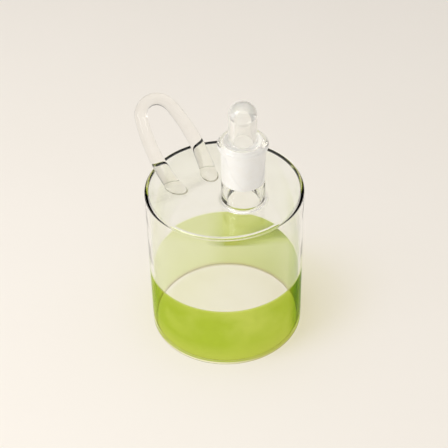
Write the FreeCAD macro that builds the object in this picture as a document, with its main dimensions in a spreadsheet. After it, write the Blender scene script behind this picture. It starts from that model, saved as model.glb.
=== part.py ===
"""Oil cruet of clear borosilicate glass, part full of green oil, as a parametric FreeCAD document.

A closed round vessel with a flat deck carries a ground-joint neck off its centre. A rod handle is fused
to the deck beside the neck and leans out over the rim. A hollow ground stopper closes the neck.
Millimetres, +Z up. The origin is the centre of the face that the vessel stands on.
"""

import FreeCAD, Part
import os
import Sketcher

Vector = FreeCAD.Vector

# Driving dimensions, in millimetres and degrees: name, value, what it is.
SIZES = [
    ("body_diameter", 80.0, "vessel, outside"),
    ("body_height", 87.4, "vessel, from the table to the top of its deck"),
    ("wall", 1.8, "side wall"),
    ("base_thickness", 2.0, "bottom"),
    ("deck_thickness", 1.8, "flat top that the neck stands on"),
    ("outer_corner", 2.4, "rounding of the outer edges, top and bottom"),
    ("inner_corner", 1.6, "rounding of the inner edges, top and bottom"),
    ("oil_level", 38.2, "surface of the oil above the table"),
    ("oil_gap", 0.05, "clearance between the oil's solid and the glass"),
    ("neck_right", 9.7, "neck axis from the vessel's axis, along X"),
    ("neck_forward", 9.1, "neck axis from the vessel's axis, along -Y"),
    ("neck_height", 34.5, "neck above the deck, to the mouth"),
    ("neck_wall", 1.4, "glass round the ground bore at the mouth"),
    ("neck_fillet", 2.1, "sweep of the neck's foot into the deck"),
    ("bore_flare", 1.5, "rounding of the bore where it opens under the deck"),
    ("bead_height", 3.4, "rolled bead at the mouth"),
    ("bead_overhang", 1.6, "how far the bead stands out from the tube"),
    ("joint_length", 23.2, "ground zone, down from the mouth"),
    ("joint_mouth", 18.8, "ground bore across the mouth"),
    ("joint_taper", 10.0, "depth in which the ground bore narrows by one"),
    ("joint_gap", 0.03, "clearance between the ground faces, across the radius"),
    ("plug_wall", 2.0, "stopper's wall inside the ground zone"),
    ("shoulder_rise", 1.0, "how far the stopper's shoulder stands above the mouth"),
    ("shoulder_sweep", 2.4, "sweep of the shoulder into the knob"),
    ("knob_diameter", 13.7, "stopper's knob, outside"),
    ("knob_height", 21.6, "knob and dome above the mouth"),
    ("knob_hollow", 7.6, "hollow inside the knob"),
    ("dome_height", 5.8, "domed top of the knob"),
    ("dome_thickness", 4.6, "glass above the hollow"),
    ("handle_rod", 7.6, "rod that the handle is bent from"),
    ("handle_left", 15.9, "middle of the handle's feet from the vessel's axis, along -X"),
    ("handle_back", 4.0, "middle of the handle's feet from the vessel's axis, along Y"),
    ("handle_turn", 35.6, "the line through both feet, turned from the X axis"),
    ("handle_lean", 48.0, "lean of the loop from upright, out over the rim"),
    ("handle_tip", 3.0, "tip of the loop to one side in its own plane"),
    ("handle_half_width", 11.8, "half the loop's width at its widest, to the rod's middle"),
    ("handle_widest_at", 17.8, "where the loop is widest, along its plane from the deck"),
    ("handle_side_radius", 84.0, "gentle bend of each leg"),
    ("handle_reach", 46.1, "top of the loop along its plane from the deck, to the rod's middle"),
    ("foot_stub", 9.0, "spare rod below the deck that the flat feet are cut from"),
]


class Size:
    """A length that knows both its formula, for the document, and its value, for the first drawing."""

    def __init__(self, text, value):
        self.text = text
        self.value = value

    def joined(self, sign, other, value):
        right = other.text if isinstance(other, Size) else str(other)
        return Size(f"({self.text} {sign} {right})", value)

    def __add__(self, other):
        return self.joined("+", other, self.value + number(other))

    def __sub__(self, other):
        return self.joined("-", other, self.value - number(other))

    def __mul__(self, other):
        return self.joined("*", other, self.value * number(other))

    def __truediv__(self, other):
        return self.joined("/", other, self.value / number(other))

    def __neg__(self):
        return Size(f"(-1 * {self.text})", -self.value)

    def root(self):
        return Size(f"sqrt({self.text})", self.value ** 0.5)


def number(size):
    return size.value if isinstance(size, Size) else size


def make_sheet(doc):
    sheet = doc.addObject("Spreadsheet::Sheet", "Sizes")
    for row, (name, value, meaning) in enumerate(SIZES, start=1):
        sheet.set(f"A{row}", name)
        sheet.set(f"B{row}", str(value))
        sheet.set(f"C{row}", meaning)
        sheet.setAlias(f"B{row}", name)
    doc.recompute()


def named_sizes():
    """The sheet's sizes by name, with the two that the neck and the stopper share worked out."""
    sizes = {name: Size(f"Sizes.{name}", value) for name, value, meaning in SIZES}
    sizes["neck_radius"] = sizes["joint_mouth"] / 2 + sizes["neck_wall"]
    sizes["bore_radius"] = (sizes["joint_mouth"] - sizes["joint_length"] / sizes["joint_taper"]) / 2
    return sizes


def make_body(doc, label):
    body = doc.addObject("PartDesign::Body", label)
    body.Label = label
    return body


def place_body(body, right, back, up):
    """Binds a body's origin to a place in the vessel's frame."""
    body.setExpression(".Placement.Base.x", right.text)
    body.setExpression(".Placement.Base.y", back.text)
    body.setExpression(".Placement.Base.z", up.text)


def origin_plane(body, role):
    return next(part for part in body.Origin.OriginFeatures if part.Role == role)


def make_sketch(body, name, support):
    sketch = body.newObject("Sketcher::SketchObject", name)
    sketch.AttachmentSupport = [(support, "")]
    sketch.MapMode = "FlatFace"
    return sketch


def draw_disc(sketch, radius):
    """A circle about the sketch's origin."""
    ring = sketch.addGeometry(Part.Circle(Vector(0, 0, 0), Vector(0, 0, 1), radius.value))
    sketch.addConstraint(Sketcher.Constraint("Coincident", ring, 3, -1, 1))
    bind_radius(sketch, ring, radius)


def turn_about(item, placement, axis, angle):
    """Gives a placement a turn about an axis, bound to an angle."""
    setattr(item, placement, FreeCAD.Placement(Vector(), FreeCAD.Rotation(axis, 1.0)))
    item.setExpression(f".{placement}.Rotation.Angle", angle.text)


def pin(sketch, edge, end, point):
    """Dimensions one end of an edge from the sketch's axes."""
    for kind, size in zip(("DistanceX", "DistanceY"), point):
        if isinstance(size, Size):
            index = sketch.addConstraint(Sketcher.Constraint(kind, edge, end, size.value))
            sketch.setExpression(f"Constraints[{index}]", size.text)
        else:
            axis = {"DistanceX": -2, "DistanceY": -1}[kind]
            sketch.addConstraint(Sketcher.Constraint("PointOnObject", edge, end, axis))


def bind_radius(sketch, edge, radius):
    rule = sketch.addConstraint(Sketcher.Constraint("Radius", edge, radius.value))
    sketch.setExpression(f"Constraints[{rule}]", radius.text)


def minor_arc(start, end, radius, bulge):
    """The shorter arc of a radius between two points; bulge is 1 where it turns left on its way, -1 right."""
    chord = end - start
    middle = (start + end) / 2
    rise = (radius ** 2 - chord.Length ** 2 / 4) ** 0.5
    centre = middle + Vector(-chord.y, chord.x, 0).normalize() * rise * bulge
    crown = centre + (middle - centre).normalize() * radius
    return Part.Arc(start, crown, end)


def draw(sketch, first, steps, closed=True):
    """Draws lines and arcs from point to point. A step is (x, y) or (x, y, radius, bulge)."""
    start = Vector(number(first[0]), number(first[1]), 0)
    links = []
    for step in steps:
        end = Vector(number(step[0]), number(step[1]), 0)
        if len(step) == 2:
            edge = sketch.addGeometry(Part.LineSegment(start, end))
            near, far = 1, 2
        else:
            radius, bulge = step[2:]
            edge = sketch.addGeometry(minor_arc(start, end, radius.value, bulge))
            near, far = (1, 2) if bulge > 0 else (2, 1)
            bind_radius(sketch, edge, radius)
        pin(sketch, edge, far, step[:2])
        links.append((edge, near, far))
        start = end
    for (edge, near, far), (next_edge, next_near, next_far) in zip(links, links[1:]):
        sketch.addConstraint(Sketcher.Constraint("Coincident", edge, far, next_edge, next_near))
    if closed:
        sketch.addConstraint(Sketcher.Constraint("Coincident", *links[-1][::2], *links[0][:2]))
    else:
        pin(sketch, *links[0][:2], first)


def revolve(body, sketch, kind):
    """Turns a sketch about its own upright axis, adding or cutting."""
    turned = body.newObject(f"PartDesign::{kind}", f"{sketch.Name}_{kind.lower()}")
    turned.Profile = sketch
    turned.ReferenceAxis = (sketch, ["V_Axis"])
    turned.Angle = 360
    return turned


def make_vessel(doc, s):
    body = make_body(doc, "vessel")
    upright = origin_plane(body, "XZ_Plane")
    radius = s["body_diameter"] / 2
    top = s["body_height"]
    corner = s["outer_corner"]

    outside = make_sketch(body, "body_outside", upright)
    draw(outside, (0, 0), [
        (radius - corner, 0),
        (radius, corner, corner, 1),
        (radius, top - corner),
        (radius - corner, top, corner, 1),
        (0, top),
        (0, 0),
    ])
    revolve(body, outside, "Revolution")

    tube = s["neck_radius"]
    mouth = top + s["neck_height"]
    half_bead = s["bead_height"] / 2
    overhang = s["bead_overhang"]
    bead_radius = (half_bead * half_bead + overhang * overhang) / (overhang * 2)
    root = top - s["deck_thickness"] / 2
    neck = make_sketch(body, "neck_outside", upright)
    draw(neck, (0, root), [
        (tube + s["neck_fillet"], root),
        (tube + s["neck_fillet"], top),
        (tube, top + s["neck_fillet"], s["neck_fillet"], -1),
        (tube, mouth - s["bead_height"]),
        (tube + overhang, mouth - half_bead, bead_radius, 1),
        (tube, mouth, bead_radius, 1),
        (0, mouth),
        (0, root),
    ])
    on_neck_axis(neck, s)
    revolve(body, neck, "Revolution")

    inner = radius - s["wall"]
    floor = s["base_thickness"]
    ceiling = top - s["deck_thickness"]
    round_in = s["inner_corner"]
    cavity = make_sketch(body, "cavity", upright)
    draw(cavity, (0, floor), [
        (inner - round_in, floor),
        (inner, floor + round_in, round_in, 1),
        (inner, ceiling - round_in),
        (inner - round_in, ceiling, round_in, 1),
        (0, ceiling),
        (0, floor),
    ])
    revolve(body, cavity, "Groove")

    bore = s["bore_radius"]
    flare = s["bore_flare"]
    below = ceiling - s["deck_thickness"] / 2
    passage = make_sketch(body, "neck_passage", upright)
    draw(passage, (0, below), [
        (bore + flare, below),
        (bore + flare, ceiling),
        (bore, ceiling + flare, flare, -1),
        (bore, mouth - s["joint_length"]),
        (s["joint_mouth"] / 2, mouth),
        (0, mouth),
        (0, below),
    ])
    on_neck_axis(passage, s)
    revolve(body, passage, "Groove")
    return body


def on_neck_axis(sketch, s):
    """Moves an upright sketch so that its own vertical axis is the neck's."""
    sketch.setExpression(".AttachmentOffset.Base.x", s["neck_right"].text)
    sketch.setExpression(".AttachmentOffset.Base.z", s["neck_forward"].text)


def make_stopper(doc, s):
    """The stopper stands on the neck's axis; its own zero height is the mouth."""
    body = make_body(doc, "stopper")
    place_body(body, s["neck_right"], -s["neck_forward"], s["body_height"] + s["neck_height"])
    gap = s["joint_gap"]
    plug_top = s["joint_mouth"] / 2 - gap
    plug_end = s["bore_radius"] - gap
    plug_hollow = plug_end - s["plug_wall"]
    knob = s["knob_diameter"] / 2
    rise = s["shoulder_rise"]
    sweep = s["shoulder_sweep"]
    top = s["knob_height"]
    dome = s["dome_height"]
    dome_radius = (knob * knob + dome * dome) / (dome * 2)
    hollow = s["knob_hollow"] / 2
    roof = top - s["dome_thickness"]

    section = make_sketch(body, "stopper_section", origin_plane(body, "XZ_Plane"))
    draw(section, (plug_hollow, -s["joint_length"]), [
        (plug_end, -s["joint_length"]),
        (plug_top, 0),
        (plug_top, rise),
        (knob + sweep, rise),
        (knob, rise + sweep, sweep, -1),
        (knob, top - dome),
        (0, top, dome_radius, 1),
        (0, roof),
        (hollow, roof - hollow, hollow, -1),
        (hollow, rise + sweep),
        (plug_hollow, -rise - sweep),
        (plug_hollow, -s["joint_length"]),
    ])
    revolve(body, section, "Revolution")
    return body


def make_handle(doc, s):
    """The handle's own frame stands on the deck midway between its feet, with X through both feet."""
    body = make_body(doc, "handle")
    turn_about(body, "Placement", Vector(0, 0, 1), s["handle_turn"])
    place_body(body, -s["handle_left"], s["handle_back"], s["body_height"])

    leaning = body.newObject("PartDesign::Plane", "leaning_plane")
    leaning.AttachmentSupport = [(origin_plane(body, "XZ_Plane"), "")]
    leaning.MapMode = "FlatFace"
    turn_about(leaning, "AttachmentOffset", Vector(-1, 0, 0), s["handle_lean"])

    wide = s["handle_half_width"]
    side = s["handle_side_radius"]
    climb = s["handle_reach"] - s["handle_widest_at"]
    crown = (side * wide * 2 - wide * wide - climb * climb) / ((side - climb) * 2)
    share = side / (side - crown)
    shoulder_x = wide - side + share * (side - wide)
    shoulder_y = s["handle_widest_at"] + share * (climb - crown)
    drop = s["handle_widest_at"] + s["foot_stub"]
    foot_x = wide - side + (side * side - drop * drop).root()
    loop = make_sketch(body, "handle_route", leaning)
    turn_about(loop, "AttachmentOffset", Vector(0, 0, 1), s["handle_tip"])
    draw(loop, (foot_x, -s["foot_stub"]), [
        (shoulder_x, shoulder_y, side, 1),
        (-shoulder_x, shoulder_y, crown, 1),
        (-foot_x, -s["foot_stub"], side, 1),
    ], closed=False)
    doc.recompute()

    end = make_sketch(body, "rod_section", loop)
    end.AttachmentSupport = [(loop, "Edge1")]
    end.MapMode = "NormalToEdge"
    draw_disc(end, s["handle_rod"] / 2)

    rod = body.newObject("PartDesign::AdditivePipe", "bent_rod")
    rod.Profile = end
    rod.Spine = (loop, ["Edge1", "Edge2", "Edge3"])

    below = make_sketch(body, "below_deck", origin_plane(body, "XY_Plane"))
    draw_disc(below, s["handle_reach"])
    feet = body.newObject("PartDesign::Pocket", "flat_feet")
    feet.Profile = below
    feet.Type = "ThroughAll"
    return body


def make_oil(doc, s):
    body = make_body(doc, "oil")
    gap = s["oil_gap"]
    radius = s["body_diameter"] / 2 - s["wall"] - gap
    floor = s["base_thickness"] + gap
    corner = s["inner_corner"]
    section = make_sketch(body, "oil_section", origin_plane(body, "XZ_Plane"))
    draw(section, (0, floor), [
        (radius - corner, floor),
        (radius, floor + corner, corner, 1),
        (radius, s["oil_level"]),
        (0, s["oil_level"]),
        (0, floor),
    ])
    revolve(body, section, "Revolution")
    return body


def check(doc, bodies):
    for item in doc.Objects:
        if "Invalid" in item.State or "Error" in item.State:
            raise RuntimeError(f"{item.Label} failed: {item.State}")
    for body in bodies:
        if body.Shape.isNull() or not body.Shape.isValid() or len(body.Shape.Solids) != 1:
            raise RuntimeError(f"{body.Label} is not one valid solid")
        for before, after in zip(body.Group, body.Group[1:]):
            if after.TypeId in ("PartDesign::Groove", "PartDesign::Pocket"):
                base = after.BaseFeature.Shape.Volume
                if after.Shape.Volume > 0.98 * base:
                    raise RuntimeError(f"{after.Name} cuts nothing")


def main():
    doc = FreeCAD.newDocument("oil_cruet")
    make_sheet(doc)
    s = named_sizes()
    bodies = [make_vessel(doc, s), make_handle(doc, s), make_stopper(doc, s), make_oil(doc, s)]
    doc.recompute()
    check(doc, bodies)
    os.makedirs("parts", exist_ok=True)
    for body in bodies:
        body.Shape.exportStep(f"parts/{body.Label}.step")
        box = body.Shape.BoundBox
        print(f"{body.Label}: {body.Shape.Volume:.0f} mm3, x {box.XMin:.2f} {box.XMax:.2f},"
              f" y {box.YMin:.2f} {box.YMax:.2f}, z {box.ZMin:.2f} {box.ZMax:.2f}")


main()
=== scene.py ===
"""Oil cruet: one fused body of clear glass with neck and handle, a ground stopper, and the oil inside."""

import math

import bpy
from mathutils import Matrix, Vector


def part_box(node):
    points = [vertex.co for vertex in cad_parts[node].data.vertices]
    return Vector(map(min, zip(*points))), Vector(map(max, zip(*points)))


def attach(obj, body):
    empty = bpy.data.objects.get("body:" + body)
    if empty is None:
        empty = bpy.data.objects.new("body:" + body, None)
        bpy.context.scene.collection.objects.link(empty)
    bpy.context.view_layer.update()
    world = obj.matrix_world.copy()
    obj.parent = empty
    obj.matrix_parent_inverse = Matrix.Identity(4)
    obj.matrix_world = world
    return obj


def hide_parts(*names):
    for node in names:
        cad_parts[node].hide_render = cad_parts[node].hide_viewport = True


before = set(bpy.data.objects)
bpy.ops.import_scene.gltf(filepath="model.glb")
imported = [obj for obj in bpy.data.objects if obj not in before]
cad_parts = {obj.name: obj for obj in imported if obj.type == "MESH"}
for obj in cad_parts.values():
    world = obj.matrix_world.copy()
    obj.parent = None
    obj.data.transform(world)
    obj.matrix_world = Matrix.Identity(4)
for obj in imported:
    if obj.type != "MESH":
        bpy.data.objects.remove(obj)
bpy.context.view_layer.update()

MM = 0.001
X_AXIS = Vector((1, 0, 0))
Y_AXIS = Vector((0, 1, 0))
Z_AXIS = Vector((0, 0, 1))

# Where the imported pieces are.
VESSEL_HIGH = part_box("vessel")[1]
STOPPER_LOW, STOPPER_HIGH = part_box("stopper")
RADIUS = VESSEL_HIGH.x
MOUTH = VESSEL_HIGH.z
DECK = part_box("handle")[0].z
PLUG_END = STOPPER_LOW.z
TOP = STOPPER_HIGH.z
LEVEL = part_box("oil")[1].z
NECK_AXIS = Vector((STOPPER_LOW.x + STOPPER_HIGH.x, STOPPER_LOW.y + STOPPER_HIGH.y, 0)) / 2

# Modelling. Arc steps are in degrees, and a point within a hair of a plane counts as on it.
ARC_STEP = 7
FEWEST_ARC_STEPS = 4
MERGE_WITHIN = 0.002 * MM
HAIR = 0.005 * MM
CUT_SNAP = 0.001 * MM
SMOOTH_BELOW = math.radians(35)

# Vessel. The two rings lie in the flat of the base, in from its rounded edges.
WALL = 1.8 * MM
BASE_THICKNESS = 2.0 * MM
DECK_THICKNESS = 1.8 * MM
CEILING = DECK - DECK_THICKNESS
RIM_OUTER = 1.8 * MM
RIM_INNER = 0.6 * MM
FOOT_OUTER = 1.8 * MM
FOOT_INNER = 0.5 * MM
UNDERSIDE_RING = 8.0 * MM
FLOOR_RING = 6.0 * MM
ROUND_STEPS = 192

# Neck and ground joint.
NECK_TUBE = 10.8 * MM
NECK_FILLET = 2.1 * MM
BORE_FLARE = 1.5 * MM
BEAD_HEIGHT = 3.4 * MM
BEAD_OVERHANG = 1.6 * MM
JOINT_MOUTH = 9.4 * MM
JOINT_END = 8.24 * MM
JOINT_GAP = 0.03 * MM
JOINT_MARGIN = 0.1 * MM
NECK_STEPS = 96

# Stopper.
PLUG_WALL = 2.0 * MM
PLUG_EDGE = 0.4 * MM
SHOULDER = MOUTH + 1.0 * MM
SHOULDER_SWEEP = 2.4 * MM
SWEEP_ROUNDING = 1.2 * MM
SWEEP_TURN = 60
KNOB_RADIUS = 6.85 * MM
KNOB_HOLLOW = 3.8 * MM
HOLLOW_NARROWS_AT = MOUTH - 3.4 * MM
DOME_HEIGHT = 5.8 * MM
DOME_THICKNESS = 4.6 * MM

# Handle: a loop in a leaning plane.
HANDLE_MIDDLE = Vector((-15.9 * MM, 4.0 * MM, DECK))
HANDLE_TURN = math.radians(35.6)
HANDLE_LEAN = math.radians(48.0)
HANDLE_TIP = math.radians(3.0)
HANDLE_HALF_WIDTH = 11.8 * MM
HANDLE_WIDEST_AT = 17.8 * MM
HANDLE_SIDE_RADIUS = 84.0 * MM
HANDLE_REACH = 46.1 * MM
LEG_SPARE = 5.0 * MM
ROD_AT_FOOT = 4.1 * MM
ROD_AT_TOP = 3.1 * MM
TAPER_POWER = 0.7
ROD_STEPS = 40
CROWN_STEPS = 20
LEG_STEPS = 18
FOOT_SWEEP = 0.35 * MM
FOOT_SWEEP_STEPS = 6
HANDLE_SEAT = DECK + 0.02 * MM
SEAM_TOP = DECK + 0.38 * MM

# Oil. Its edge climbs the glass a little.
INTO_WALL = 0.15 * MM
MENISCUS_WIDTH = 0.8 * MM
MENISCUS_RISE = 0.16 * MM

# How much each clear material bends light.
GLASS_IOR = 1.47
ROD_IOR = 1.22
WET_IOR = 1.04
UNBENT = 1.0

# A face is upright or slanted while the up part of its normal stays below these.
UPRIGHT_BELOW = 0.6
SLANTED_BELOW = 0.97
JOINT_FACES_BELOW = 0.5
SEAT_BELOW = -0.98

# The surface of worked glass. Each layer is finer than the waves by a factor, stretched from low to high.
SURFACE_LAYERS = (
    {"name": "Wave", "finer": 1.0, "detail": 1.0, "low": 0.0, "high": 1.0},
    {"name": "Smudge", "finer": 2.3, "detail": 3.0, "low": 0.48, "high": 0.66},
    {"name": "Grain", "finer": 60.0, "detail": 3.0, "low": 0.0, "high": 1.0},
)

# Tints of the glass and oil. A surface shows the square root of its tint each time light crosses it.
ALMOST_CLEAR = (0.998, 0.998, 0.995)
WET_LEVEL = (0.997, 0.997, 0.99)
WET_TINT = (0.84, 0.90, 0.58)
# The next two tints are painted shade: dark lines in the rounded corners of the wetted foot and of the
# oil's floor.
WET_CORNER_PAINTED_SHADE = (0.60, 0.55, 0.40)
OIL_CORNER_PAINTED_SHADE = (0.62, 0.56, 0.38)
OIL_ROUND_TO_FRONT = (0.76, 0.81, 0.34)

# How a slanting view deepens the wetted wall's tint, with the depth at its -X and +X sides.
SLANT_FROM = 0.60
SLANT_DEPTH = 1.6
# Painted light and shade: the low depth at -X keeps that side pale and the high depth at +X darkens it,
# for the lamp on the left.
PAINTED_SIDE_SHADE_DEPTH = (0.3, 8.0)

# Tints that change with height, as (height over the oil's level, tint). The other pairs say where one
# tint gives way to the next.
# Painted shade in the wall's inner foot, darkest just above the floor.
INNER_FOOT_PAINTED_SHADE = (
    (0.03, (0.74, 0.70, 0.50)),
    (0.07, WET_TINT),
)
# Painted lines along the outer foot: a painted shade line at the bottom edge, a painted highlight line
# above it, then the oil's green. Towards +X, away from the lamp, the highlight line is painted in olive
# shade.
FOOT_PAINTED_SHADE_AND_HIGHLIGHT_LEFT = (
    (0.030, (0.26, 0.23, 0.12)),
    (0.036, (0.96, 0.97, 0.60)),
    (0.064, (0.96, 0.97, 0.60)),
    (0.070, (0.30, 0.42, 0.020)),
)
FOOT_PAINTED_SHADE_AND_HIGHLIGHT_RIGHT = (
    (0.030, (0.36, 0.32, 0.18)),
    (0.036, (0.50, 0.50, 0.14)),
    (0.064, (0.40, 0.42, 0.08)),
    (0.070, (0.30, 0.38, 0.020)),
)
FOOT_BAND_TOP = 0.13
FOOT_PAINTED_SHADE_TO_RIGHT = (-4.0 * MM, 18.0 * MM)
FOOT_BAND_TO_FRONT = (0.05, 0.50)
OIL_FRONT = (
    (0.066, (0.40, 0.45, 0.035)),
    (0.082, (0.54, 0.62, 0.070)),
    (0.14, (0.54, 0.64, 0.057)),
    (0.35, (0.385, 0.550, 0.018)),
    (0.80, (0.375, 0.540, 0.017)),
    (1.00, (0.54, 0.66, 0.050)),
)
# Painted light: brighter patches on the oil's front, where light is focused through the glass.
OIL_FRONT_PAINTED_LIGHT_PATCHES = (
    (0.05, (0.55, 0.65, 0.060)),
    (0.35, (0.47, 0.61, 0.036)),
    (1.00, (0.62, 0.72, 0.080)),
)
OIL_CORNER_TOP = 0.08

# The same for the oil's far side, with a painted shadow of the front rim: a dark arc whose heights bow
# down towards both edges, kept pale towards -X as painted light and darkest towards +X as painted shade.
RIM_SHADOW_BOW = 0.73
OIL_BACK_FROM_LEFT = (-13.0 * MM, -2.0 * MM)
OIL_BACK_TO_RIGHT = (4.0 * MM, 26.0 * MM)
OIL_BACK_TO_REAR = (-2.0 * MM, 12.0 * MM)
OIL_BACK_PAINTED_LIGHT_LEFT = (
    (0.38, (0.99, 0.99, 0.97)),
    (0.46, (0.93, 0.94, 0.77)),
    (0.60, (0.84, 0.85, 0.53)),
)
OIL_BACK_PAINTED_SHADOW_MIDDLE = (
    (0.36, (0.84, 0.86, 0.60)),
    (0.41, (0.33, 0.39, 0.012)),
    (0.49, (0.33, 0.39, 0.012)),
    (0.54, (0.50, 0.58, 0.07)),
    (0.60, (0.62, 0.70, 0.12)),
    (1.00, (0.70, 0.76, 0.20)),
)
OIL_BACK_PAINTED_SHADOW_RIGHT = (
    (0.33, (0.75, 0.82, 0.50)),
    (0.45, (0.56, 0.66, 0.15)),
    (0.51, (0.22, 0.32, 0.004)),
    (0.63, (0.13, 0.19, 0.001)),
    (0.74, (0.36, 0.46, 0.02)),
    (1.00, (0.55, 0.64, 0.10)),
)

# Surroundings that only glass sees, as (sine of the height, colour): dark round the horizon, then light.
SURROUNDINGS = (
    (0.57, (0.01, 0.01, 0.008)),
    (0.61, (0.95, 0.95, 0.95)),
)
EVEN_LIGHT = (0.5, 0.5, 0.5)
PALE_ROOM = (0.84, 0.79, 0.71)
TABLE_SIZE = 4.0
TABLE_DROP = 0.02 * MM

# Lamps and camera. The camera's place is given in vessel radii.
LAMP_TARGET = Vector((0, 0, RADIUS))
CAMERA_PLACE = Vector((0.513, -11.463, 11.244)) * RADIUS
CAMERA_PITCH = math.radians(40.13)
CAMERA_YAW = math.radians(-2.63)
CAMERA_ROLL = math.radians(1.32)
CAMERA_LENS = 94.18
SENSOR_WIDTH = 36
CLIP_START = 0.01


# ---------------------------------------------------------------- modelling helpers

def deselect():
    """Back to object mode with nothing selected."""
    if bpy.context.mode != "OBJECT":
        bpy.ops.object.mode_set(mode="OBJECT")
    bpy.ops.object.select_all(action="DESELECT")


def edit(piece):
    """Opens one piece in edit mode, with nothing in it selected."""
    deselect()
    piece.select_set(True)
    bpy.context.view_layer.objects.active = piece
    bpy.ops.object.mode_set(mode="EDIT")
    bpy.ops.mesh.select_all(action="DESELECT")


def select_where(piece, test):
    """Selects the vertices whose place passes a test, and nothing else."""
    bpy.ops.mesh.select_mode(type="VERT")
    bpy.ops.mesh.select_all(action="DESELECT")
    bpy.ops.object.mode_set(mode="OBJECT")
    for vertex in piece.data.vertices:
        vertex.select = test(vertex.co)
    bpy.ops.object.mode_set(mode="EDIT")


def selected_places(piece):
    """Where the selected vertices are."""
    bpy.ops.object.mode_set(mode="OBJECT")
    places = [vertex.co.copy() for vertex in piece.data.vertices if vertex.select]
    bpy.ops.object.mode_set(mode="EDIT")
    return places


def start_point(name, place):
    """A new object that holds one selected vertex, left in edit mode."""
    deselect()
    bpy.ops.mesh.primitive_plane_add(size=MM, location=(0, 0, 0))
    piece = bpy.context.object
    piece.name = name
    bpy.ops.object.mode_set(mode="EDIT")
    bpy.ops.mesh.select_mode(type="VERT")
    bpy.ops.mesh.select_all(action="SELECT")
    bpy.ops.mesh.merge(type="CENTER")
    bpy.ops.transform.translate(value=place)
    return piece


def draw_profile(name, start, moves, axis=Vector()):
    """A chain of edges in the upright plane through an axis. A move is ("to", r, z) for a straight line,
    or ("arc", r, z, degrees) for an arc about a centre."""
    at = Vector((start[0], 0, start[1]))
    piece = start_point(name, axis + at)
    for kind, *move in moves:
        target = Vector((move[0], 0, move[1]))
        if kind == "to":
            bpy.ops.mesh.extrude_region_move(TRANSFORM_OT_translate={"value": target - at})
            at = target
        else:
            turn = math.radians(move[2])
            steps = max(FEWEST_ARC_STEPS, round(abs(move[2]) / ARC_STEP))
            bpy.ops.mesh.spin(steps=steps, angle=turn, center=axis + target, axis=Y_AXIS)
            at = target + Matrix.Rotation(-turn, 3, "Y") @ (at - target)
    return piece


def turn_profile(piece, steps, axis=Vector()):
    """Spins the whole profile about an upright axis, and closes the seam and the poles."""
    bpy.ops.mesh.select_all(action="SELECT")
    bpy.ops.mesh.spin(steps=steps, angle=2 * math.pi, center=axis, axis=Z_AXIS)
    bpy.ops.mesh.select_all(action="SELECT")
    bpy.ops.mesh.remove_doubles(threshold=MERGE_WITHIN)
    deselect()
    return piece


def join(pieces):
    """Makes one object of several, under the first one's name."""
    deselect()
    for piece in pieces:
        piece.select_set(True)
    bpy.context.view_layer.objects.active = pieces[0]
    bpy.ops.object.join()
    return pieces[0]


def fill_level(piece, height):
    """Levels the open rims at one height and closes the flat face between them."""
    edit(piece)
    bpy.ops.mesh.select_mode(type="EDGE")
    bpy.ops.mesh.select_non_manifold(
        extend=False,
        use_wire=False,
        use_boundary=True,
        use_multi_face=False,
        use_non_contiguous=False,
        use_verts=False,
    )
    bpy.ops.object.mode_set(mode="OBJECT")
    for edge in piece.data.edges:
        ends = [piece.data.vertices[i].co.z for i in edge.vertices]
        edge.select = edge.select and all(abs(z - height) < HAIR for z in ends)
    for vertex in piece.data.vertices:
        vertex.select = False
    for edge in piece.data.edges:
        if edge.select:
            for i in edge.vertices:
                piece.data.vertices[i].select = True
    bpy.ops.object.mode_set(mode="EDIT")
    bpy.ops.transform.resize(value=(1, 1, 0), center_override=(0, 0, height))
    bpy.ops.mesh.fill(use_beauty=True)
    deselect()


def finish_mesh(piece):
    """Merges what meets, turns the faces outwards, and gives flat faces their own level shading."""
    edit(piece)
    bpy.ops.mesh.select_all(action="SELECT")
    bpy.ops.mesh.remove_doubles(threshold=MERGE_WITHIN)
    bpy.ops.mesh.normals_make_consistent(inside=False)
    deselect()
    piece.select_set(True)
    bpy.context.view_layer.objects.active = piece
    bpy.ops.object.shade_smooth_by_angle(angle=SMOOTH_BELOW)
    bpy.ops.object.transform_apply(location=True, rotation=True, scale=True)
    bpy.ops.object.modifier_add(type="WEIGHTED_NORMAL")
    piece.modifiers[-1].keep_sharp = True
    bpy.ops.object.modifier_apply(modifier=piece.modifiers[-1].name)
    deselect()


def give_material(piece, material):
    """Makes a material the piece's only one."""
    piece.data.materials.clear()
    piece.data.materials.append(material)


def add_material_where(piece, material, test):
    """Assigns a further material to the faces that pass a test."""
    piece.data.materials.append(material)
    index = len(piece.data.materials) - 1
    for face in piece.data.polygons:
        if test(face):
            face.material_index = index


# ---------------------------------------------------------------- vessel and neck

def make_outer_shell():
    """Underside, side and rounded edges, up to the rim of the deck, with a ring at the oil's level."""
    shell = draw_profile("vessel_glass", (0, 0), [
        ("to", RADIUS - UNDERSIDE_RING, 0),
        ("to", RADIUS - FOOT_OUTER, 0),
        ("arc", RADIUS - FOOT_OUTER, FOOT_OUTER, 90),
        ("to", RADIUS, LEVEL),
        ("to", RADIUS, DECK - RIM_OUTER),
        ("arc", RADIUS - RIM_OUTER, DECK - RIM_OUTER, 90),
    ])
    return turn_profile(shell, ROUND_STEPS)


def make_inner_shell():
    """Inside of the base, side and rounded edges, up to the rim of the deck's underside."""
    inner = RADIUS - WALL
    shell = draw_profile("inner_shell", (0, BASE_THICKNESS), [
        ("to", inner - FLOOR_RING, BASE_THICKNESS),
        ("to", inner - FOOT_INNER, BASE_THICKNESS),
        ("arc", inner - FOOT_INNER, BASE_THICKNESS + FOOT_INNER, 90),
        ("to", inner, LEVEL),
        ("to", inner, CEILING - RIM_INNER),
        ("arc", inner - RIM_INNER, CEILING - RIM_INNER, 90),
    ])
    return turn_profile(shell, ROUND_STEPS)


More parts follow.
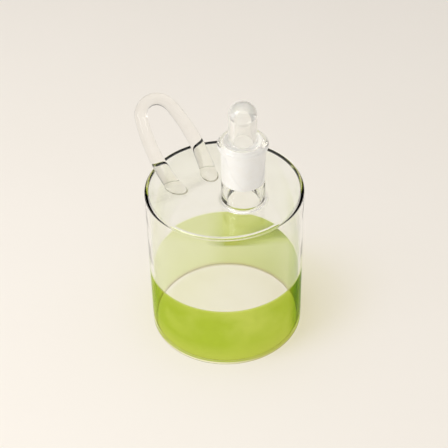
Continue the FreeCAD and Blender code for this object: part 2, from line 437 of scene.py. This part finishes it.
def make_neck():
    """From the fillet on the deck over the bead and down the ground bore to the flare under the deck."""
    half = BEAD_HEIGHT / 2
    bead = (half ** 2 + BEAD_OVERHANG ** 2) / (2 * BEAD_OVERHANG)
    bead_centre = NECK_TUBE + BEAD_OVERHANG - bead
    bead_turn = math.degrees(2 * math.asin(half / bead))
    neck = draw_profile("neck", (NECK_TUBE + NECK_FILLET, DECK), [
        ("arc", NECK_TUBE + NECK_FILLET, DECK + NECK_FILLET, -90),
        ("to", NECK_TUBE, MOUTH - BEAD_HEIGHT),
        ("arc", bead_centre, MOUTH - half, bead_turn),
        ("to", JOINT_MOUTH, MOUTH),
        ("to", JOINT_END, PLUG_END),
        ("to", JOINT_END, CEILING + BORE_FLARE),
        ("arc", JOINT_END + BORE_FLARE, CEILING + BORE_FLARE, 90),
    ], NECK_AXIS)
    return turn_profile(neck, NECK_STEPS, NECK_AXIS)


def make_vessel():
    """Both shells and the neck, joined by the two faces of the deck."""
    vessel = join([make_outer_shell(), make_inner_shell(), make_neck()])
    fill_level(vessel, DECK)
    fill_level(vessel, CEILING)
    finish_mesh(vessel)
    return vessel


# ---------------------------------------------------------------- handle

def handle_axes():
    """The loop's own directions: across, up along its lean, and out of its plane."""
    along = Matrix.Rotation(HANDLE_TURN, 3, "Z") @ X_AXIS
    back = Matrix.Rotation(HANDLE_TURN, 3, "Z") @ Y_AXIS
    rise = Z_AXIS * math.cos(HANDLE_LEAN) + back * math.sin(HANDLE_LEAN)
    across = along * math.cos(HANDLE_TIP) + rise * math.sin(HANDLE_TIP)
    upward = rise * math.cos(HANDLE_TIP) - along * math.sin(HANDLE_TIP)
    return across, upward, across.cross(upward)


def make_handle():
    """A rod bent through two gentle legs and a round crown, cut level above the deck and swept into it."""
    across, upward, normal = handle_axes()
    rod = bend_rod(across, upward, normal)
    taper_rod(rod, upward)
    cut_legs(rod)
    for way in (1, -1):
        sweep_foot(rod, across * way, upward)
    fill_level(rod, HANDLE_SEAT)
    finish_mesh(rod)
    return rod


def bend_rod(across, upward, normal):
    """Spins a round section from the top of the loop down both sides: first the crown, then a leg."""
    climb = HANDLE_REACH - HANDLE_WIDEST_AT
    side, wide = HANDLE_SIDE_RADIUS, HANDLE_HALF_WIDTH
    crown = (2 * side * wide - wide ** 2 - climb ** 2) / (2 * (side - climb))
    crown_centre = HANDLE_MIDDLE + upward * (HANDLE_REACH - crown)
    leg_turn = math.asin((climb - crown) / (side - crown))
    foot_turn = math.asin((HANDLE_WIDEST_AT + LEG_SPARE) / side)
    top = HANDLE_MIDDLE + upward * HANDLE_REACH
    turned = Matrix((upward, normal, across)).transposed().to_euler()

    deselect()
    bpy.ops.mesh.primitive_circle_add(vertices=ROD_STEPS, radius=ROD_AT_TOP, location=top, rotation=turned)
    rod = bpy.context.object
    rod.name = "handle_glass"
    bpy.ops.object.transform_apply(location=True, rotation=True, scale=True)
    edit(rod)
    for way in (1, -1):
        select_where(rod, lambda place: abs((place - top).dot(across)) < HAIR)
        leg_centre = HANDLE_MIDDLE + upward * HANDLE_WIDEST_AT - across * way * (side - wide)
        over_crown = way * (math.pi / 2 - leg_turn)
        down_leg = way * (leg_turn + foot_turn)
        bpy.ops.mesh.spin(steps=CROWN_STEPS, angle=over_crown, center=crown_centre, axis=normal)
        bpy.ops.mesh.spin(steps=LEG_STEPS, angle=down_leg, center=leg_centre, axis=normal)
    bpy.ops.mesh.select_all(action="SELECT")
    bpy.ops.mesh.remove_doubles(threshold=MERGE_WITHIN)
    deselect()
    return rod


def taper_rod(rod, upward):
    """Thickens the rod from the top of the loop down to its feet, ring by ring."""
    edit(rod)
    bpy.ops.mesh.select_mode(type="VERT")
    for first in range(0, len(rod.data.vertices), ROD_STEPS):
        bpy.ops.mesh.select_all(action="DESELECT")
        bpy.ops.object.mode_set(mode="OBJECT")
        ring = rod.data.vertices[first:first + ROD_STEPS]
        for vertex in ring:
            vertex.select = True
        middle = sum((vertex.co for vertex in ring), Vector()) / ROD_STEPS
        height = min(1.0, max(0.0, (middle - HANDLE_MIDDLE).dot(upward) / HANDLE_REACH))
        radius = ROD_AT_FOOT + (ROD_AT_TOP - ROD_AT_FOOT) * height ** TAPER_POWER
        bpy.ops.object.mode_set(mode="EDIT")
        bpy.ops.transform.resize(value=[radius / ROD_AT_TOP] * 3, center_override=middle)
    deselect()


def cut_legs(rod):
    """Cuts both legs level, a sweep's height above their seat."""
    edit(rod)
    bpy.ops.mesh.select_all(action="SELECT")
    bpy.ops.mesh.bisect(
        plane_co=(0, 0, HANDLE_SEAT + FOOT_SWEEP),
        plane_no=(0, 0, 1),
        clear_inner=True,
        clear_outer=False,
        use_fill=False,
        threshold=CUT_SNAP,
    )
    deselect()


def sweep_foot(rod, towards, upward):
    """Draws the cut edge of the leg on one side down to its seat, and out in a quarter round."""
    cut = HANDLE_SEAT + FOOT_SWEEP
    edit(rod)
    select_where(rod, lambda place: abs(place.z - cut) < HAIR and (place - HANDLE_MIDDLE).dot(towards) > 0)
    for step in range(FOOT_SWEEP_STEPS):
        before = step / FOOT_SWEEP_STEPS * math.pi / 2
        after = (step + 1) / FOOT_SWEEP_STEPS * math.pi / 2
        drop = FOOT_SWEEP * (math.sin(after) - math.sin(before))
        spread = FOOT_SWEEP * (math.cos(before) - math.cos(after))
        ring = selected_places(rod)
        middle = sum(ring, Vector()) / len(ring)
        reach = sum((place - middle).length for place in ring) / len(ring)
        slide = -upward * drop / upward.z
        grow = 1 + spread / reach
        bpy.ops.mesh.extrude_region_move(TRANSFORM_OT_translate={"value": slide})
        bpy.ops.transform.resize(value=(grow, grow, 1), center_override=middle + slide)
    deselect()


# ---------------------------------------------------------------- stopper and oil

def make_stopper_outside():
    """Ground plug, shoulder and domed knob."""
    plug_top = JOINT_MOUTH - JOINT_GAP
    plug_end = JOINT_END - JOINT_GAP
    dome = (KNOB_RADIUS ** 2 + DOME_HEIGHT ** 2) / (2 * DOME_HEIGHT)
    dome_turn = math.degrees(math.asin(KNOB_RADIUS / dome))
    sweep_start = KNOB_RADIUS + SHOULDER_SWEEP - SWEEP_ROUNDING
    outside = draw_profile("stopper_glass", (plug_end - PLUG_WALL, PLUG_END), [
        ("to", plug_end - PLUG_EDGE, PLUG_END),
        ("to", plug_end, PLUG_END + PLUG_EDGE),
        ("to", plug_top, MOUTH),
        ("to", plug_top, SHOULDER - PLUG_EDGE),
        ("arc", plug_top - PLUG_EDGE, SHOULDER - PLUG_EDGE, 90),
        ("to", sweep_start, SHOULDER),
        ("arc", sweep_start, SHOULDER + SWEEP_ROUNDING, -SWEEP_TURN),
        ("to", KNOB_RADIUS, SHOULDER + SHOULDER_SWEEP),
        ("to", KNOB_RADIUS, TOP - DOME_HEIGHT),
        ("arc", 0, TOP - dome, dome_turn),
    ], NECK_AXIS)
    return turn_profile(outside, NECK_STEPS, NECK_AXIS)


def make_stopper_hollow():
    """Inside of the plug, open below and narrowing into a round end in the knob."""
    inside = JOINT_END - JOINT_GAP - PLUG_WALL
    round_end = TOP - DOME_THICKNESS - KNOB_HOLLOW
    hollow = draw_profile("stopper_hollow", (inside, PLUG_END), [
        ("to", inside, HOLLOW_NARROWS_AT),
        ("to", KNOB_HOLLOW, SHOULDER + SHOULDER_SWEEP),
        ("to", KNOB_HOLLOW, round_end),
        ("arc", 0, round_end, -90),
    ], NECK_AXIS)
    return turn_profile(hollow, NECK_STEPS, NECK_AXIS)


def make_stopper():
    """Hollow ground plug, shoulder and knob in one, closed where both walls meet at the lower end."""
    stopper = join([make_stopper_outside(), make_stopper_hollow()])
    finish_mesh(stopper)
    return stopper


def make_oil():
    """The oil up to its level, reaching into the wall, its edge drawn up a little against the glass."""
    side = RADIUS - WALL + INTO_WALL
    floor = BASE_THICKNESS - INTO_WALL
    oil = draw_profile("oil_fill", (0, floor), [
        ("to", side - FOOT_INNER, floor),
        ("arc", side - FOOT_INNER, floor + FOOT_INNER, 90),
        ("to", side, LEVEL + MENISCUS_RISE),
        ("to", side - MENISCUS_WIDTH, LEVEL - MENISCUS_RISE),
        ("to", side - 3 * MENISCUS_WIDTH, LEVEL - 2 * MENISCUS_RISE),
        ("to", 0, LEVEL - 2 * MENISCUS_RISE),
    ])
    turn_profile(oil, ROUND_STEPS)
    finish_mesh(oil)
    return oil


# ---------------------------------------------------------------- material helpers

def new_material(name):
    """An empty material with nodes, and its tree."""
    material = bpy.data.materials.new(name)
    material.use_nodes = True
    tree = material.node_tree
    tree.nodes.clear()
    return material, tree


def feed(tree, socket, value):
    """Gives a socket a plain number or colour, or links another socket into it."""
    if isinstance(value, tuple):
        socket.default_value = (*value, 1)
    elif isinstance(value, (int, float)):
        socket.default_value = value
    else:
        tree.links.new(value, socket)


def maths(tree, operation, *values):
    """A Math node on one or two sockets or numbers."""
    node = tree.nodes.new("ShaderNodeMath")
    node.operation = operation
    for socket, value in zip(node.inputs, values):
        feed(tree, socket, value)
    return node.outputs[0]


def map_range(tree, value, low, high, first=0.0, last=1.0):
    """Stretches a value from one range to another, and keeps it inside."""
    node = tree.nodes.new("ShaderNodeMapRange")
    tree.links.new(value, node.inputs["Value"])
    for name, number in (("From Min", low), ("From Max", high), ("To Min", first), ("To Max", last)):
        node.inputs[name].default_value = number
    return node.outputs["Result"]


def mix_colours(tree, share, first, second):
    """Goes from the first colour to the second as the share goes from 0 to 1."""
    mix = tree.nodes.new("ShaderNodeMix")
    mix.data_type = "RGBA"
    feed(tree, mix.inputs["Factor"], share)
    feed(tree, mix.inputs["A"], first)
    feed(tree, mix.inputs["B"], second)
    return mix.outputs["Result"]


def colour_ramp(tree, value, stops):
    """A colour that changes along a value, from (position, colour) stops."""
    ramp = tree.nodes.new("ShaderNodeValToRGB")
    elements = ramp.color_ramp.elements
    while len(elements) < len(stops):
        elements.new(1)
    for element, (position, colour) in zip(elements, stops):
        element.position = position
        element.color = (*colour, 1)
    tree.links.new(value, ramp.inputs["Fac"])
    return ramp.outputs["Color"]


def place_on_piece(tree):
    """The place on the piece, as separate X, Y and Z."""
    place = tree.nodes.new("ShaderNodeTexCoord")
    spot = tree.nodes.new("ShaderNodeSeparateXYZ")
    tree.links.new(place.outputs["Object"], spot.inputs[0])
    return spot


def steep_share(tree, limit):
    """1 on faces whose normal points up or down by less than a limit, 0 on the others."""
    geometry = tree.nodes.new("ShaderNodeNewGeometry")
    normal = tree.nodes.new("ShaderNodeSeparateXYZ")
    tree.links.new(geometry.outputs["Normal"], normal.inputs[0])
    return maths(tree, "LESS_THAN", maths(tree, "ABSOLUTE", normal.outputs["Z"]), limit)


def glass_shader(tree, ior, roughness, shade):
    """A transmitting surface that lets light through to matt surfaces unbent, in a shade of its own."""
    output = tree.nodes.new("ShaderNodeOutputMaterial")
    mix = tree.nodes.new("ShaderNodeMixShader")
    glass = tree.nodes.new("ShaderNodeBsdfPrincipled")
    clear = tree.nodes.new("ShaderNodeBsdfTransparent")
    path = tree.nodes.new("ShaderNodeLightPath")
    glass.inputs["Transmission Weight"].default_value = 1
    glass.inputs["IOR"].default_value = ior
    glass.inputs["Roughness"].default_value = roughness
    feed(tree, clear.inputs["Color"], shade)
    passing = maths(tree, "MAXIMUM", path.outputs["Is Shadow Ray"], path.outputs["Is Diffuse Ray"])
    tree.links.new(passing, mix.inputs["Fac"])
    tree.links.new(glass.outputs["BSDF"], mix.inputs[1])
    tree.links.new(clear.outputs["BSDF"], mix.inputs[2])
    tree.links.new(mix.outputs["Shader"], output.inputs["Surface"])
    return glass


def make_worked_surface():
    """A node group for every finish here: a slow wave, faint smudges and a fine grain, from 0 to 1."""
    group = bpy.data.node_groups.new("worked_surface", "ShaderNodeTree")
    group.interface.new_socket(name="Waves", in_out="INPUT", socket_type="NodeSocketFloat")
    for layer in SURFACE_LAYERS:
        group.interface.new_socket(name=layer["name"], in_out="OUTPUT", socket_type="NodeSocketFloat")
    entry = group.nodes.new("NodeGroupInput")
    leave = group.nodes.new("NodeGroupOutput")
    place = group.nodes.new("ShaderNodeTexCoord")
    for layer in SURFACE_LAYERS:
        noise = group.nodes.new("ShaderNodeTexNoise")
        noise.inputs["Detail"].default_value = layer["detail"]
        group.links.new(place.outputs["Object"], noise.inputs["Vector"])
        scale = maths(group, "MULTIPLY", entry.outputs["Waves"], layer["finer"])
        group.links.new(scale, noise.inputs["Scale"])
        value = map_range(group, noise.outputs["Fac"], layer["low"], layer["high"])
        group.links.new(value, leave.inputs[layer["name"]])


def add_worked_surface(tree, waves):
    """Puts the shared surface group into a material, with its waves to the metre."""
    node = tree.nodes.new("ShaderNodeGroup")
    node.node_tree = bpy.data.node_groups["worked_surface"]
    node.inputs["Waves"].default_value = waves
    return node


def tint_by(tree, shader, share, first, second):
    """Lets a finish's colour drift between two tones."""
    tree.links.new(mix_colours(tree, share, first, second), shader.inputs["Base Color"])


def roughen(tree, shader, share, smooth, rough):
    """Lets a finish go from smooth to rough along a share of 0 to 1."""
    tree.links.new(map_range(tree, share, 0.0, 1.0, smooth, rough), shader.inputs["Roughness"])


def raise_surface(tree, shader, height, depth):
    """Relief of a given depth on a finish, from a height of 0 to 1."""
    bump = tree.nodes.new("ShaderNodeBump")
    bump.inputs["Distance"].default_value = depth
    tree.links.new(height, bump.inputs["Height"])
    tree.links.new(bump.outputs["Normal"], shader.inputs["Normal"])


# ---------------------------------------------------------------- glass

def make_clear_glass():
    """Hand-worked glass: gentle waves, and a few smudges that are a touch less clear."""
    material, tree = new_material("clear_borosilicate")
    glass = glass_shader(tree, GLASS_IOR, 0.0, (0.995, 0.995, 0.992))
    surface = add_worked_surface(tree, 45.0)
    tint_by(tree, glass, surface.outputs["Smudge"], (0.985, 0.99, 0.975), (0.972, 0.975, 0.950))
    roughen(tree, glass, surface.outputs["Smudge"], 0.0, 0.03)
    raise_surface(tree, glass, surface.outputs["Wave"], 0.12 * MM)
    return material


def make_rod_glass():
    """The handle's rod, soft-looking, with faint edges and a slight cream tone."""
    material, tree = new_material("rod_glass")
    glass = glass_shader(tree, ROD_IOR, 0.0, (0.995, 0.995, 0.985))
    surface = add_worked_surface(tree, 90.0)
    tint_by(tree, glass, surface.outputs["Smudge"], (0.99, 0.983, 0.96), (0.968, 0.955, 0.922))
    roughen(tree, glass, surface.outputs["Smudge"], 0.0, 0.05)
    raise_surface(tree, glass, surface.outputs["Wave"], 0.10 * MM)
    return material


def make_seat_glass():
    """The seat of a leg, fused to the deck, which lets the view straight through."""
    material, tree = new_material("fused_seat")
    glass = glass_shader(tree, UNBENT, 0.0, (0.995, 0.995, 0.992))
    surface = add_worked_surface(tree, 300.0)
    tint_by(tree, glass, surface.outputs["Smudge"], (0.985, 0.985, 0.97), (0.93, 0.93, 0.90))
    return material


def make_seam_painted_shade():
    """The thin seam round a foot, where the rod was melted onto the deck, with painted shade dark in
    places.
    """
    material, tree = new_material("seam_painted_shade")
    glass = glass_shader(tree, UNBENT, 0.0, (0.97, 0.97, 0.95))
    surface = add_worked_surface(tree, 130.0)
    tint_by(tree, glass, surface.outputs["Smudge"], (0.45, 0.44, 0.36), (0.10, 0.09, 0.06))
    return material


def make_ground_glass():
    """Glass ground matt for the joint, white because hardly any light goes straight through."""
    material, tree = new_material("ground_joint")
    glass = glass_shader(tree, GLASS_IOR, 0.9, (0.97, 0.97, 0.96))
    glass.inputs["Transmission Weight"].default_value = 0.12
    surface = add_worked_surface(tree, 160.0)
    tint_by(tree, glass, surface.outputs["Smudge"], (0.995, 0.985, 0.97), (0.975, 0.96, 0.935))
    roughen(tree, glass, surface.outputs["Wave"], 0.82, 0.98)
    raise_surface(tree, glass, surface.outputs["Grain"], 0.02 * MM)
    return material


def make_knob_glass():
    """Slightly milky glass of the stopper's knob and shoulder."""
    material, tree = new_material("milky_knob")
    glass = glass_shader(tree, GLASS_IOR, 0.05, (0.97, 0.97, 0.96))
    glass.inputs["Transmission Weight"].default_value = 0.78
    surface = add_worked_surface(tree, 110.0)
    tint_by(tree, glass, surface.outputs["Smudge"], (0.995, 0.985, 0.955), (0.985, 0.965, 0.92))
    roughen(tree, glass, surface.outputs["Smudge"], 0.04, 0.12)
    raise_surface(tree, glass, surface.outputs["Wave"], 0.10 * MM)
    return material


# ---------------------------------------------------------------- wetted glass and oil

def deepen_at_slant_with_painted_side_shade(tree, colour, spot):
    """A coloured layer looks deeper where it is crossed at a slant; painted shade makes it far deeper
    towards +X, away from the lamp, and painted light keeps it pale towards -X.
    """
    slant = tree.nodes.new("ShaderNodeLayerWeight")
    slant.inputs["Blend"].default_value = 0.5
    power = map_range(tree, slant.outputs["Facing"], SLANT_FROM, 1.0, 0.0, SLANT_DEPTH)
    # Painted shade towards +X and painted light towards -X.
    side = map_range(tree, spot.outputs["X"], -RADIUS, RADIUS, *PAINTED_SIDE_SHADE_DEPTH)
    deeper = tree.nodes.new("ShaderNodeGamma")
    tree.links.new(colour, deeper.inputs["Color"])
    tree.links.new(maths(tree, "ADD", maths(tree, "MULTIPLY", power, side), 1.0), deeper.inputs["Gamma"])
    return deeper.outputs["Color"]


def foot_band_with_painted_lines(tree, spot, height):
    """The lowest band of the wall's front half, as a colour and its share: a painted shade line at the
    edge, a painted highlight line that turns to painted olive shade towards +X, away from the lamp, and
    green where the oil's lower edge is seen through the wall."""
    left = colour_ramp(tree, height, FOOT_PAINTED_SHADE_AND_HIGHLIGHT_LEFT)
    right = colour_ramp(tree, height, FOOT_PAINTED_SHADE_AND_HIGHLIGHT_RIGHT)
    # Painted olive shade towards +X.
    to_right = map_range(tree, spot.outputs["X"], *FOOT_PAINTED_SHADE_TO_RIGHT)
    band = mix_colours(tree, to_right, left, right)
    frontward = maths(tree, "MULTIPLY", spot.outputs["Y"], -1 / RADIUS)
    above_floor = maths(tree, "SUBTRACT", spot.outputs["Z"], BASE_THICKNESS)
    under_oil = maths(tree, "LESS_THAN", maths(tree, "MULTIPLY", above_floor, frontward), WALL - INTO_WALL)
    low = maths(tree, "LESS_THAN", height, FOOT_BAND_TOP)
    in_front = map_range(tree, frontward, *FOOT_BAND_TO_FRONT)
    share = maths(tree, "MULTIPLY", maths(tree, "MULTIPLY", under_oil, low), in_front)
    return band, share


def wetted_wall_tint(tree, spot):
    """The wetted wall's tint: painted shade in its inner foot, deeper at a slant with painted shade
    towards +X, and painted shade and highlight lines along its outer foot.
    """
    back = tree.nodes.new("ShaderNodeNewGeometry").outputs["Backfacing"]
    height = maths(tree, "DIVIDE", spot.outputs["Z"], LEVEL)
    wall = mix_colours(tree, back, WET_TINT, colour_ramp(tree, height, INNER_FOOT_PAINTED_SHADE))
    band, share = foot_band_with_painted_lines(tree, spot, height)
    outside = maths(tree, "SUBTRACT", 1.0, back)
    banded = maths(tree, "MULTIPLY", share, outside)
    return mix_colours(tree, banded, deepen_at_slant_with_painted_side_shade(tree, wall, spot), band)


def make_wetted_glass():
    """The wall and base that oil wets. Oil bends light as much as the glass does, so the wall hardly
    shows, and the oil's colour reaches the outer edge."""
    material, tree = new_material("glass_wet_with_oil")
    spot = place_on_piece(tree)
    upright = steep_share(tree, UPRIGHT_BELOW)
    # Painted shadow: the wall lets less light through towards +X, away from the lamp, so the table is
    # darker on that side.
    painted_shadow_share = map_range(tree, spot.outputs["X"], 0.0, RADIUS)
    shade = mix_colours(tree, painted_shadow_share, (0.995, 0.995, 0.985), (0.85, 0.82, 0.68))
    glass = glass_shader(tree, WET_IOR, 0.0, mix_colours(tree, upright, WET_LEVEL, shade))
    # Painted shade: a darker line on the slanted faces of the rounded corners.
    flat = mix_colours(tree, steep_share(tree, SLANTED_BELOW), WET_LEVEL, WET_CORNER_PAINTED_SHADE)
    tint_by(tree, glass, upright, flat, wetted_wall_tint(tree, spot))
    surface = add_worked_surface(tree, 45.0)
    roughen(tree, glass, surface.outputs["Smudge"], 0.0, 0.03)
    raise_surface(tree, glass, surface.outputs["Wave"], 0.12 * MM)
    return material


def oil_back_with_painted_shadow(tree, spot, height):
    """The oil's far side: a painted shadow of the front rim, as a dark arc whose ends bow down, kept pale
    towards -X as painted light and darkest towards +X as painted shade, fading round the sides.
    """
    aside = maths(tree, "MULTIPLY", spot.outputs["X"], 1 / RADIUS)
    bow = maths(tree, "MULTIPLY", maths(tree, "MULTIPLY", aside, aside), RIM_SHADOW_BOW)
    arched = maths(tree, "SUBTRACT", height, bow)
    left = colour_ramp(tree, arched, OIL_BACK_PAINTED_LIGHT_LEFT)
    middle = colour_ramp(tree, arched, OIL_BACK_PAINTED_SHADOW_MIDDLE)
    right = colour_ramp(tree, arched, OIL_BACK_PAINTED_SHADOW_RIGHT)
    from_left = map_range(tree, spot.outputs["X"], *OIL_BACK_FROM_LEFT)
    to_right = map_range(tree, spot.outputs["X"], *OIL_BACK_TO_RIGHT)
    at_back = map_range(tree, spot.outputs["Y"], *OIL_BACK_TO_REAR)
    arc = mix_colours(tree, to_right, mix_colours(tree, from_left, left, middle), right)
    return mix_colours(tree, at_back, OIL_ROUND_TO_FRONT, arc)


def oil_flat_tint(tree, height):
    """The oil's level and floor, almost clear, with a painted shade line in the floor's rounded corner."""
    floor = mix_colours(tree, steep_share(tree, SLANTED_BELOW), ALMOST_CLEAR, OIL_CORNER_PAINTED_SHADE)
    return mix_colours(tree, maths(tree, "LESS_THAN", height, OIL_CORNER_TOP), ALMOST_CLEAR, floor)


def make_oil_material():
    """Green where it is seen against the wall, almost clear through its level and the base."""
    material, tree = new_material("green_oil")
    back = tree.nodes.new("ShaderNodeNewGeometry").outputs["Backfacing"]
    spot = place_on_piece(tree)
    height = maths(tree, "DIVIDE", spot.outputs["Z"], LEVEL)
    upright = steep_share(tree, UPRIGHT_BELOW)
    oil = glass_shader(tree, UNBENT, 0.0, mix_colours(tree, upright, ALMOST_CLEAR, (0.88, 0.92, 0.62)))
    # Noise that paints brighter patches of light on the front, and also roughens it a little.
    light_patches_and_roughness = add_worked_surface(tree, 16.0).outputs["Smudge"]
    plain = colour_ramp(tree, height, OIL_FRONT)
    front = mix_colours(tree, light_patches_and_roughness, plain, colour_ramp(tree, height, OIL_FRONT_PAINTED_LIGHT_PATCHES))
    side = mix_colours(tree, back, front, oil_back_with_painted_shadow(tree, spot, height))
    tint_by(tree, oil, upright, oil_flat_tint(tree, height), side)
    roughen(tree, oil, light_patches_and_roughness, 0.0, 0.04)
    return material


# ---------------------------------------------------------------- stage, lamps and camera

def make_table_material():
    """Pale, matt table top."""
    material, tree = new_material("pale_table")
    output = tree.nodes.new("ShaderNodeOutputMaterial")
    paint = tree.nodes.new("ShaderNodeBsdfPrincipled")
    paint.inputs["Specular IOR Level"].default_value = 0.2
    surface = add_worked_surface(tree, 9.0)
    tint_by(tree, paint, surface.outputs["Wave"], (0.915, 0.853, 0.77), (0.925, 0.867, 0.79))
    roughen(tree, paint, surface.outputs["Smudge"], 0.65, 0.8)
    raise_surface(tree, paint, surface.outputs["Grain"], 0.01 * MM)
    tree.links.new(paint.outputs["BSDF"], output.inputs["Surface"])
    return material


def make_stage():
    """A plain table under the cruet."""
    deselect()
    bpy.ops.mesh.primitive_plane_add(size=TABLE_SIZE, location=(0, 0, -TABLE_DROP))
    table = bpy.context.object
    table.name = "table"
    give_material(table, make_table_material())


def make_world():
    """Even light all round for matt surfaces. Glass sees a bright ceiling over a dark band round the
    horizon, which draws the dark lines along its edges."""
    world = bpy.data.worlds.new("studio")
    bpy.context.scene.world = world
    world.use_nodes = True
    tree = world.node_tree
    back = tree.nodes["Background"]
    place = tree.nodes.new("ShaderNodeTexCoord")
    height = tree.nodes.new("ShaderNodeSeparateXYZ")
    tree.links.new(place.outputs["Generated"], height.inputs[0])
    path = tree.nodes.new("ShaderNodeLightPath")
    in_glass = maths(tree, "MAXIMUM", path.outputs["Is Glossy Ray"], path.outputs["Is Transmission Ray"])
    plain = mix_colours(tree, path.outputs["Is Camera Ray"], EVEN_LIGHT, PALE_ROOM)
    light = mix_colours(tree, in_glass, plain, colour_ramp(tree, height.outputs["Z"], SURROUNDINGS))
    tree.links.new(light, back.inputs["Color"])


def make_lamp(name, place, size, power):
    """A soft square lamp that shines at the middle of the vessel."""
    light = bpy.data.lights.new(name, "AREA")
    light.size = size
    light.energy = power
    lamp = bpy.data.objects.new(name, light)
    bpy.context.scene.collection.objects.link(lamp)
    lamp.location = place
    lamp.rotation_mode = "QUATERNION"
    lamp.rotation_quaternion = (LAMP_TARGET - Vector(place)).to_track_quat("-Z", "Y")


def make_camera():
    """Looks down at the cruet from in front, through a long lens about sixty-four centimetres away."""
    flat = math.cos(CAMERA_PITCH)
    ahead = Vector((math.sin(CAMERA_YAW) * flat, math.cos(CAMERA_YAW) * flat, -math.sin(CAMERA_PITCH)))
    right = ahead.cross(Z_AXIS).normalized()
    up = right.cross(ahead)
    data = bpy.data.cameras.new("camera")
    data.sensor_width = SENSOR_WIDTH
    data.lens = CAMERA_LENS
    data.clip_start = CLIP_START
    camera = bpy.data.objects.new("camera", data)
    bpy.context.scene.collection.objects.link(camera)
    turned = Matrix((right, up, -ahead)).transposed().to_4x4() @ Matrix.Rotation(-CAMERA_ROLL, 4, "Z")
    camera.matrix_world = Matrix.Translation(CAMERA_PLACE) @ turned
    bpy.context.scene.camera = camera


# ---------------------------------------------------------------- assembly

def reach_on_joint(face):
    """How far an upright face between the plug's end and the mouth lies from the neck's axis, or None."""
    if abs(face.normal.z) < JOINT_FACES_BELOW and PLUG_END < face.center.z < MOUTH:
        return (face.center.xy - NECK_AXIS.xy).length
    return None


def is_ground_bore(face):
    """True on the bore's wall from the plug's end to the mouth."""
    reach = reach_on_joint(face)
    return reach is not None and reach < JOINT_MOUTH + JOINT_MARGIN


def is_ground_plug(face):
    """True on the outside of the plug, and not in its hollow."""
    reach = reach_on_joint(face)
    return reach is not None and reach > JOINT_END - PLUG_WALL / 2


def add_vessel(ground_glass):
    """Clear vessel, ground inside the neck and wetted below the oil's level."""
    vessel = make_vessel()
    give_material(vessel, make_clear_glass())
    add_material_where(vessel, ground_glass, is_ground_bore)
    add_material_where(vessel, make_wetted_glass(), lambda face: face.center.z < LEVEL)
    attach(vessel, "root")
    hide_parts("vessel")


def add_handle():
    """Rod handle with its two feet on the deck."""
    handle = make_handle()
    give_material(handle, make_rod_glass())
    add_material_where(handle, make_seam_painted_shade(), lambda face: face.center.z < SEAM_TOP)
    add_material_where(handle, make_seat_glass(), lambda face: face.normal.z < SEAT_BELOW)
    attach(handle, "root")
    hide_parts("handle")


def add_stopper(ground_glass):
    """Stopper with a milky knob and a ground plug."""
    stopper = make_stopper()
    give_material(stopper, make_knob_glass())
    add_material_where(stopper, ground_glass, is_ground_plug)
    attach(stopper, "root")
    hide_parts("stopper")


def add_oil():
    """Oil up to its level."""
    oil = make_oil()
    give_material(oil, make_oil_material())
    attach(oil, "root")
    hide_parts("oil")


def assemble():
    """All four pieces, with the surface group that every finish draws on."""
    make_worked_surface()
    ground_glass = make_ground_glass()
    add_vessel(ground_glass)
    add_handle()
    add_stopper(ground_glass)
    add_oil()


def set_look():
    """Plain colours, and enough bounces for light to get through all the glass walls."""
    scene = bpy.context.scene
    scene.view_settings.view_transform = "Standard"
    scene.cycles.caustics_reflective = False
    scene.cycles.caustics_refractive = False
    scene.cycles.max_bounces = 32
    scene.cycles.glossy_bounces = 8
    scene.cycles.transmission_bounces = 24
    scene.cycles.transparent_max_bounces = 32


assemble()
make_stage()
make_world()
make_lamp("key", (-0.65, -0.35, 0.8), size=0.5, power=4.4)
make_lamp("ceiling", (0.05, -0.3, 1.3), size=1.4, power=6.0)
make_camera()
set_look()
